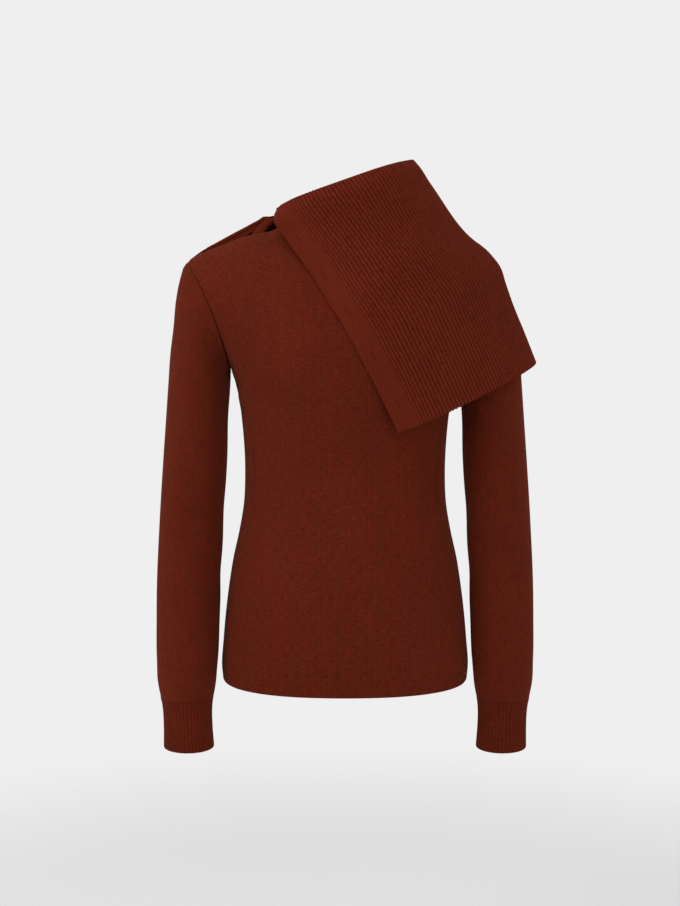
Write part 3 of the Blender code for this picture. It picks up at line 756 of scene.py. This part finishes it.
def knit(name, colour, wale, course, depth, groove_shade, uneven):
    """A knitted cloth's material, worked out from the piece's own map in metres.

    A wale is a column of loops. t runs from 0 in its middle to 1 at its edges. The loops' legs
    are a sine along the column whose phase leans by half a turn with t, which gives the rows
    of Vs, and the column's round back is one less t to the power 2.5. The tone is lighter where
    the loops stand high, as painted shade between the loops, and the groove value darkens the
    wale's edges by t cubed, as painted shade in the grooves. Noise at several sizes adds fuzz,
    specks, flecks drawn out along the courses and soft mottling; uneven scales the last three.
    """
    material = bpy.data.materials.new(name)
    material.use_nodes = True
    tree = material.node_tree
    tree.nodes.clear()
    n = Nodes(tree)
    spot = n.add("ShaderNodeSeparateXYZ", {0: n.add("ShaderNodeUVMap", uv_map="cloth").outputs[0]})
    u, v = spot.outputs[0], spot.outputs[1]
    column = n.math("FRACT", n.math("DIVIDE", u, wale * MM))
    t = n.math("ABSOLUTE", n.math("MULTIPLY_ADD", column, 2.0, -1.0))
    lean = n.math("MULTIPLY_ADD", t, 0.5, n.math("DIVIDE", v, course * MM))
    leg = n.math("SINE", n.math("MULTIPLY", lean, 2 * math.pi))
    back = n.math("SUBTRACT", 1.0, n.math("POWER", t, 2.5))
    both = n.math("MULTIPLY", leg, back)
    loops = n.math("MULTIPLY_ADD", both, 0.3, n.math("MULTIPLY", back, 0.6))
    place = n.add("ShaderNodeTexCoord").outputs["Object"]
    drawn = n.add("ShaderNodeCombineXYZ", {0: n.math("MULTIPLY", u, FLECK_SHARE), 1: v, 2: 0.0})

    def noise(scale, detail, vector=place):
        settings = {"Vector": vector, "Scale": scale, "Detail": detail, "Roughness": 0.6}
        made = n.add("ShaderNodeTexNoise", settings)
        return n.math("SUBTRACT", made.outputs["Fac"], 0.5)

    fuzz, speck = noise(1500.0, 2.0), noise(480.0, 2.0)
    mottle, wide = noise(150.0, 3.0), noise(13.0, 2.0)
    fleck = noise(520.0, 2.0, drawn.outputs[0])
    height = n.math("MULTIPLY_ADD", fuzz, 0.5, loops)
    height = n.math("MULTIPLY_ADD", speck, 0.5, height)
    tone = n.math("MULTIPLY_ADD", speck, 0.3 * uneven, 0.86)
    tone = n.math("MULTIPLY_ADD", fleck, 0.95 * uneven, tone)
    tone = n.math("MULTIPLY_ADD", mottle, 0.4 * uneven, tone)
    tone = n.math("MULTIPLY_ADD", wide, 0.25, tone)
    # Painted shade: the tone is lighter where the loops stand high and darker between them
    tone = n.math("MULTIPLY_ADD", loops, 0.34, tone)
    # Painted shade in the grooves: the wale's edges darken by t cubed
    tone = n.math("MULTIPLY_ADD", n.math("POWER", t, 3.0), -groove_shade, tone)
    yarn = n.add("ShaderNodeVectorMath", {0: colour, "Scale": tone}, operation="SCALE")
    relief = n.add("ShaderNodeBump", {"Height": height, "Distance": depth * MM, "Strength": 1.0})
    inputs = {"Base Color": yarn.outputs[0], "Normal": relief.outputs[0]}
    shader = n.add("ShaderNodeBsdfPrincipled", inputs)
    shader.inputs["Roughness"].default_value = 0.9
    shader.inputs["Specular IOR Level"].default_value = 0.02
    shader.inputs["Sheen Weight"].default_value = 0.09
    shader.inputs["Sheen Roughness"].default_value = 0.35
    shader.inputs["Sheen Tint"].default_value = (1.0, 0.30, 0.17, 1)
    out = n.add("ShaderNodeOutputMaterial")
    tree.links.new(shader.outputs[0], out.inputs[0])
    return material


# Each yarn: its wale, course and relief in millimetres, how dark the painted shade in its grooves
# is, how uneven its tone is, and its brightness beside the chosen colour
YARNS = {
    "yarn_fine": (2.7, 2.0, 0.5, 0.16, 1.0, 1.0),
    "yarn_rib": (RIB_WALE, 2.4, 0.45, 0.66, 1.0, 1.03),
    "yarn_cuff": (RIB_WALE, 2.4, 0.45, 0.14, 1.0, 0.83),
    "yarn_strip": (2.0, 1.8, 0.3, 0.05, 0.4, 1.03),
}


def shared(name, colour):
    """A knit material made once and used by every piece that names it."""
    *facts, bright = YARNS[name]
    return bpy.data.materials.get(name) or knit(name, [c * bright for c in colour], *facts)


def map_of(grid, wrap=False, centre=None):
    """A piece's map: how far round and how far along each point lies, in millimetres."""
    closed = np.concatenate([grid, grid[:, :1]], axis=1) if wrap else grid
    around = lengths(closed, 1)
    along = lengths(closed, 0)
    if centre is not None:
        around = around - around[:, centre : centre + 1]
    return np.stack([around, along], axis=-1)


class SweaterSizes(bpy.types.PropertyGroup):
    """The sizes and colours of the sweater."""

    body_wall: bpy.props.FloatProperty(
        name="Body cloth", description="Thickness of the fine knit", default=0.0015, unit="LENGTH"
    )
    collar_wall: bpy.props.FloatProperty(
        name="Collar cloth", description="Thickness of the ribbed knit",
        default=0.0019, unit="LENGTH"
    )
    rib_height: bpy.props.FloatProperty(
        name="Rib height", description="How far a rib stands out", default=0.0008, unit="LENGTH"
    )
    collar_ribs: bpy.props.IntProperty(
        name="Collar ribs", description="Ribs on each half of the collar", default=44, min=10
    )
    cuff_ribs: bpy.props.IntProperty(
        name="Cuff ribs", description="Ribs round a cuff", default=42, min=10
    )
    colour: bpy.props.FloatVectorProperty(
        name="Yarn", description="Colour of the yarn",
        default=(0.083, 0.0108, 0.0045), subtype="COLOR", min=0, max=1
    )


class SweaterStage(bpy.types.PropertyGroup):
    """The camera and the light."""

    distance: bpy.props.FloatProperty(
        name="Camera distance", description="How far in front the camera stands",
        default=2.4, unit="LENGTH"
    )
    height: bpy.props.FloatProperty(
        name="Camera height", description="How high the camera stands above the neck",
        default=0.05, unit="LENGTH"
    )
    lens: bpy.props.FloatProperty(
        name="Lens", description="Focal length", default=77.09, unit="CAMERA"
    )
    pale: bpy.props.FloatProperty(
        name="Backdrop", description="Brightness of the plain backdrop", default=0.863, min=0, max=1
    )


def sizes():
    """The sizes as millimetres."""
    s = bpy.context.scene.sweater_sizes
    return s.body_wall * 1000, s.collar_wall * 1000, s.rib_height * 1000, tuple(s.colour)


class SWEATER_OT_body(bpy.types.Operator):
    """Builds the front and the back"""

    bl_idname = "sweater.body"
    bl_label = "Front and Back"

    def execute(self, context):
        wall, _, _, colour = sizes()
        material = shared("yarn_fine", colour)
        for face, name in ((-1, "front"), (1, "back")):
            grid = folded(panel(face), face)
            top = np.full(grid.shape[1] + 2 * len(EDGE_STEPS), SEWN)
            if face < 0:
                top[OPEN_COLUMN + len(EDGE_STEPS) :] = 1
            turns = (1, top, SEWN, SEWN)
            grid = edged(grid, wall, turns)
            grid = grid - wall / 2 * outward(grid)
            uv = map_of(grid, centre=grid.shape[1] // 2)
            obj = cloth("knit_" + name, grid, wall, uv, turns)
            dress(obj, material, name)
        return {"FINISHED"}


class SWEATER_OT_sleeves(bpy.types.Operator):
    """Builds both sleeves"""

    bl_idname = "sweater.sleeves"
    bl_label = "Sleeves"

    def execute(self, context):
        wall, _, _, colour = sizes()
        material = shared("yarn_fine", colour)
        angle = np.pi + np.arange(ARM_COLUMNS) * 2 * np.pi / ARM_COLUMNS
        for side, word in ((1, "left"), (-1, "right")):
            start = armhole(angle) + 0.1 * ARM_OUT
            grid = tube(SLEEVE, angle, np.linspace(0, 1, ARM_ROWS), start)
            turns = angle
            if side > 0:
                grid = pressed(grid)[:, ::-1]
                turns = angle[::-1]
            else:
                grid = grid * np.array([-1, 1, 1])
            grid = sleeve_folded(grid, turns)
            turns = (SEWN, SEWN, SEWN, SEWN)
            grid = edged(grid, wall, turns, wrap=True)
            grid = grid - wall / 2 * outward(grid, wrap=True)
            uv = map_of(grid, wrap=True)
            obj = cloth("knit_sleeve_" + word, grid, wall, uv, turns, wrap=True)
            dress(obj, material, "sleeve_" + word)
        return {"FINISHED"}


class SWEATER_OT_cuffs(bpy.types.Operator):
    """Builds both ribbed cuffs"""

    bl_idname = "sweater.cuffs"
    bl_label = "Cuffs"

    def execute(self, context):
        _, wall, rib, colour = sizes()
        material = shared("yarn_cuff", colour)
        ribs = context.scene.sweater_sizes.cuff_ribs
        count = ribs * CUFF_RIB_COLUMNS
        angle = np.pi + np.arange(count) * 2 * np.pi / count
        wave = rib_wave(count, CUFF_RIB_COLUMNS)
        turns = (SEWN, 1, SEWN, SEWN)
        for side, word in ((1, "left"), (-1, "right")):
            grid = tube(CUFF, angle, np.linspace(0, 1, 26))
            if side > 0:
                grid = pressed(grid)[:, ::-1]
            else:
                grid = grid * np.array([-1, 1, 1])
            grid = edged(grid, wall, turns, wrap=True)
            down = lengths(grid, 0)
            uv = map_of(grid, wrap=True)
            uv[..., 0] = np.arange(count + 1) / CUFF_RIB_COLUMNS * RIB_WALE
            fade = 0.45 + 0.55 * ease(down / 7)
            raised = (rib * 0.35 * wave - wall / 2) * fade
            grid = grid + raised[..., None] * outward(grid, wrap=True)
            obj = cloth("rib_cuff_" + word, grid, wall, uv, turns, wrap=True)
            dress(obj, material, "cuff_" + word)
        return {"FINISHED"}


class SWEATER_OT_collar(bpy.types.Operator):
    """Builds the ribbed collar and the plain strips on its short ends"""

    bl_idname = "sweater.collar"
    bl_label = "Collar"

    def execute(self, context):
        _, wall, rib, colour = sizes()
        ribs = context.scene.sweater_sizes.collar_ribs
        # The strips' columns lie close together beside the slits
        beside = np.array([SLIT_HALF_WIDTH, 0.7, 1.1, 1.6, 2.1, 2.6])
        marks = np.concatenate(
            [
                np.linspace(0.0, 11.5, 9),
                SLIT_FROM_EDGE + np.concatenate([-beside[::-1], beside]),
                np.linspace(18.2, BAND_WIDTH, 9),
            ]
        )
        (front, ribbed, back), (front_at, rib_at, back_at), places, fold = collar_lines(ribs, marks)
        grid = keep_apart(flap_relief(ribbed, rib_at, places, fold))
        normal = outward(grid)
        wave = rib_wave(grid.shape[1], RIB_COLUMNS)[:, None]
        grid = grid + (rib / 2 * wave - wall / 2) * normal
        tail = grid[-1] - grid[-2]
        tail /= np.linalg.norm(tail, axis=-1, keepdims=True)
        grid[-1] += 0.5 * wave * tail
        uv = map_of(grid)
        uv[..., 0] = np.arange(grid.shape[1]) / RIB_COLUMNS * RIB_WALE
        turns = (SEWN, 1, SEWN, SEWN)
        grid, uv = self.edge_pair(grid, uv, wall, turns)
        obj = cloth("rib_collar", grid, wall, uv, turns)
        yarn = shared("yarn_rib", colour)
        dress(obj, yarn, "collar")
        # The plain strips. The front one has slits with raised lips
        strip = shared("yarn_strip", colour)
        strips = (
            (front, front_at, "strip_front", "collar_band_front", "knit_front"),
            (back, back_at, "strip_back", "collar_band_back", "knit_back"),
        )
        for grid, at, name, node, below in strips:
            grid = self.finer(keep_apart(flap_relief(grid, at, places, fold)))
            normal = outward(grid)
            holes, lift, turns = None, np.zeros(grid.shape[:2]), (SEWN, 1, SEWN, 1)
            if name == "strip_front":
                fold_share = np.interp(fold, places, np.linspace(0, 1, len(places)))
                holes, lift = self.slits(grid, marks, fold_share)
                turns = (SEWN, 1, 1, SEWN)
            grid = grid + (lift - wall / 2)[..., None] * normal
            grid, uv = self.edge_pair(grid, map_of(grid), wall, turns)
            obj = cloth(name, grid, wall, uv, turns, holes=holes)
            dress(obj, strip, node)
        return {"FINISHED"}

    @staticmethod
    def slits(grid, marks, fold_share):
        """Which cells of the edged front strip are cut out, and how high its points stand there."""
        cell = int(np.argmin(np.abs((marks[:-1] + marks[1:]) / 2 - SLIT_FROM_EDGE)))
        run = lengths(grid, 0)[:, cell]
        base = run[int(fold_share * (len(run) - 1))]
        between = (run[:-1] + run[1:]) / 2
        across = np.maximum(np.abs(marks - SLIT_FROM_EDGE) - SLIT_HALF_WIDTH, 0)[None, :]
        holes = np.zeros((grid.shape[0] - 1, grid.shape[1] - 1), bool)
        lift = np.zeros(grid.shape[:2])
        for share in HOLES:
            centre = base + share * (run[-1] - base)
            holes[np.abs(between - centre) < SLIT_HALF_LENGTH, cell] = True
            off = np.maximum(np.abs(run - centre) - SLIT_HALF_LENGTH, 0)[:, None]
            lift += LIP_HEIGHT * bump((np.hypot(off, across) - 0.9) / 1.6)
        return np.pad(holes, len(EDGE_STEPS)), lift

    @staticmethod
    def finer(grid):
        """Three rows for each one, between them in a straight line."""
        rows = np.arange(len(grid))
        at = np.linspace(0, len(grid) - 1, (len(grid) - 1) * 3 + 1)
        low = np.clip(at.astype(int), 0, len(grid) - 2)
        share = (at - rows[low])[:, None, None]
        return grid[low] * (1 - share) + grid[low + 1] * share

    @staticmethod
    def edge_pair(grid, uv, wall, turns):
        """A grid and its map with the extra rows and columns that a round edge needs."""
        both = edged(np.concatenate([grid, uv], axis=-1), wall, turns)
        return both[..., :3], both[..., 3:]


class SWEATER_OT_shoulder(bpy.types.Operator):
    """Builds the facing of the right shoulder's opening and the turned end of the back strip"""

    bl_idname = "sweater.shoulder"
    bl_label = "Shoulder Opening"

    def execute(self, context):
        *_, colour = sizes()
        strip = shared("yarn_strip", colour)
        # The facing rolls over the back's edge and hangs down inside, less far near the tip
        right = slice(OPEN_COLUMN + 3, 2 * PANEL_HALF - 6)
        opening = -panel(-1)[-1, right, 1]
        ridge = panel(1)[-1][::-1][right]
        ridge[:, 1] = -0.15
        ridge[:, 2] += 1.6 * bump((ridge[:, 0] + 100.5) / 7)
        share = np.clip(opening / 12, 0.5, 1)
        drops = [np.stack([0 * share, y * share, z * share], axis=1) for y, z in FACING]
        lines = np.stack([ridge + drop for drop in drops])
        known = lengths(lines, 0).mean(axis=1)
        grid = smooth(np.linspace(0, known[-1], FACING_ROWS), known, lines)[:, ::-1]
        turns = (SEWN, 1, 1, 1)
        grid = edged(grid, FACING_WALL, turns)
        grid = grid - FACING_WALL / 2 * outward(grid)
        obj = cloth("strip_shoulder", grid, FACING_WALL, map_of(grid), turns)
        dress(obj, strip, "shoulder_strip")
        # The turned end of the back strip crosses the opening in a soft curve
        table = np.array(TURN)
        known = lengths(table[None, :, :3], 1)[0]
        fine = smooth(np.linspace(0, known[-1], TURN_COLUMNS), known, table)
        bow = np.linspace(0, 1, TURN_ROWS)[:, None, None]
        grid = fine[None, :, :3] * (1 - bow) + fine[None, :, 3:] * bow
        grid[..., 1] -= 1.6 * np.sin(np.pi * bow[..., 0]) * ease(np.arange(TURN_COLUMNS) / 12)
        if outward(grid)[TURN_ROWS // 2, TURN_COLUMNS // 2, 1] > 0:
            grid = grid[:, ::-1]
        grid = edged(grid, TURN_WALL)
        grid = grid - TURN_WALL / 2 * outward(grid)
        obj = cloth("strip_turn", grid, TURN_WALL, map_of(grid))
        dress(obj, strip, "collar_band_turn")
        return {"FINISHED"}


class SWEATER_OT_stage(bpy.types.Operator):
    """Builds the floor, the light and the camera"""

    bl_idname = "sweater.stage"
    bl_label = "Stage"

    def execute(self, context):
        s = context.scene.sweater_stage
        camera_data = bpy.data.cameras.new("camera")
        camera = bpy.data.objects.new("camera", camera_data)
        context.scene.collection.objects.link(camera)
        camera.location = (CAMERA_ASIDE, -s.distance, s.height)
        camera.rotation_euler = (math.pi / 2 - math.atan2(CAMERA_DROP, CAMERA_RUN), 0, 0)
        camera_data.sensor_width = 36
        camera_data.lens = s.lens
        camera_data.clip_start = 0.05
        camera_data.clip_end = 60
        context.scene.camera = camera
        self.floor(context, s.pale)
        self.lights(context)
        world = bpy.data.worlds.new("plain")
        world.use_nodes = True
        ground = world.node_tree.nodes["Background"]
        ground.inputs["Color"].default_value = (s.pale, s.pale, s.pale, 1)
        ground.inputs["Strength"].default_value = 1.0
        context.scene.world = world
        context.scene.view_settings.view_transform = "Standard"
        return {"FINISHED"}

    def floor(self, context, pale):
        """A round pale floor below the cuffs that fades into the backdrop."""
        count = 96
        angle = np.arange(count) * 2 * np.pi / count
        x, y = FLOOR_RADIUS * np.cos(angle), FLOOR_BACK + FLOOR_RADIUS * np.sin(angle)
        points = np.stack([x, y, np.full(count, FLOOR)], axis=1)
        mesh = bpy.data.meshes.new("floor")
        mesh.from_pydata(points.tolist(), [], [list(range(count))])
        floor = bpy.data.objects.new("floor", mesh)
        context.scene.collection.objects.link(floor)
        material = bpy.data.materials.new("floor")
        material.use_nodes = True
        tree = material.node_tree
        tree.nodes.clear()
        n = Nodes(tree)
        place = n.add("ShaderNodeTexCoord").outputs["Object"]
        ends = {0: place, 1: (0, FLOOR_BACK, FLOOR)}
        off = n.add("ShaderNodeVectorMath", ends, operation="SUBTRACT")
        far = n.add("ShaderNodeVectorMath", {0: off.outputs[0]}, operation="LENGTH")
        reach = {"Value": far.outputs["Value"], "From Min": 0.8, "From Max": 1.6}
        fade = n.add("ShaderNodeMapRange", reach, interpolation_type="SMOOTHSTEP")
        matt = n.add("ShaderNodeBsdfDiffuse", {"Color": (0.70, 0.70, 0.70, 1)})
        clear = n.add("ShaderNodeBsdfTransparent")
        blend = {0: fade.outputs[0], 1: matt.outputs[0], 2: clear.outputs[0]}
        mix = n.add("ShaderNodeMixShader", blend)
        out = n.add("ShaderNodeOutputMaterial")
        tree.links.new(mix.outputs[0], out.inputs[0])
        mesh.materials.append(material)

    def lights(self, context):
        """A broad key light at the upper left and a soft fill from the front."""
        key = bpy.data.lights.new("key", "AREA")
        key.shape = "SQUARE"
        key.size = 1.3
        key.energy = 22
        self.aim(context, key, (-1.35, -0.85, 0.8), (0.0, 0.0, -0.25))
        fill = bpy.data.lights.new("fill", "SUN")
        fill.energy = 0.9
        fill.angle = math.radians(60)
        self.aim(context, fill, (0.8, -1.7, 0.35), (0.0, 0.0, -0.2))

    @staticmethod
    def aim(context, data, place, target):
        """Puts a light at a place and turns its -Z towards a target."""
        light = bpy.data.objects.new(data.name, data)
        context.scene.collection.objects.link(light)
        light.location = place
        towards = mathutils.Vector(target) - mathutils.Vector(place)
        light.rotation_euler = towards.to_track_quat("-Z", "Y").to_euler()


class SWEATER_PT_panel(bpy.types.Panel):
    """Lists the operators and settings"""

    bl_idname = "SWEATER_PT_panel"
    bl_label = "Sweater"
    bl_space_type = "VIEW_3D"
    bl_region_type = "UI"
    bl_category = "Sweater"

    def draw(self, context):
        layout = self.layout
        for group in (context.scene.sweater_sizes, context.scene.sweater_stage):
            for key in group.__annotations__:
                layout.prop(group, key)
        for operator in OPERATORS:
            layout.operator(operator.bl_idname)


OPERATORS = (
    SWEATER_OT_body,
    SWEATER_OT_sleeves,
    SWEATER_OT_cuffs,
    SWEATER_OT_collar,
    SWEATER_OT_shoulder,
    SWEATER_OT_stage,
)
CLASSES = (SweaterSizes, SweaterStage, *OPERATORS, SWEATER_PT_panel)


def register():
    for cls in CLASSES:
        bpy.utils.register_class(cls)
    bpy.types.Scene.sweater_sizes = bpy.props.PointerProperty(type=SweaterSizes)
    bpy.types.Scene.sweater_stage = bpy.props.PointerProperty(type=SweaterStage)


def unregister():
    del bpy.types.Scene.sweater_sizes
    del bpy.types.Scene.sweater_stage
    for cls in reversed(CLASSES):
        bpy.utils.unregister_class(cls)


def main():
    """Builds every piece and the stage."""
    register()
    bpy.ops.sweater.body()
    bpy.ops.sweater.sleeves()
    bpy.ops.sweater.cuffs()
    bpy.ops.sweater.collar()
    bpy.ops.sweater.shoulder()
    bpy.ops.sweater.stage()


if __name__ == "__main__":
    main()
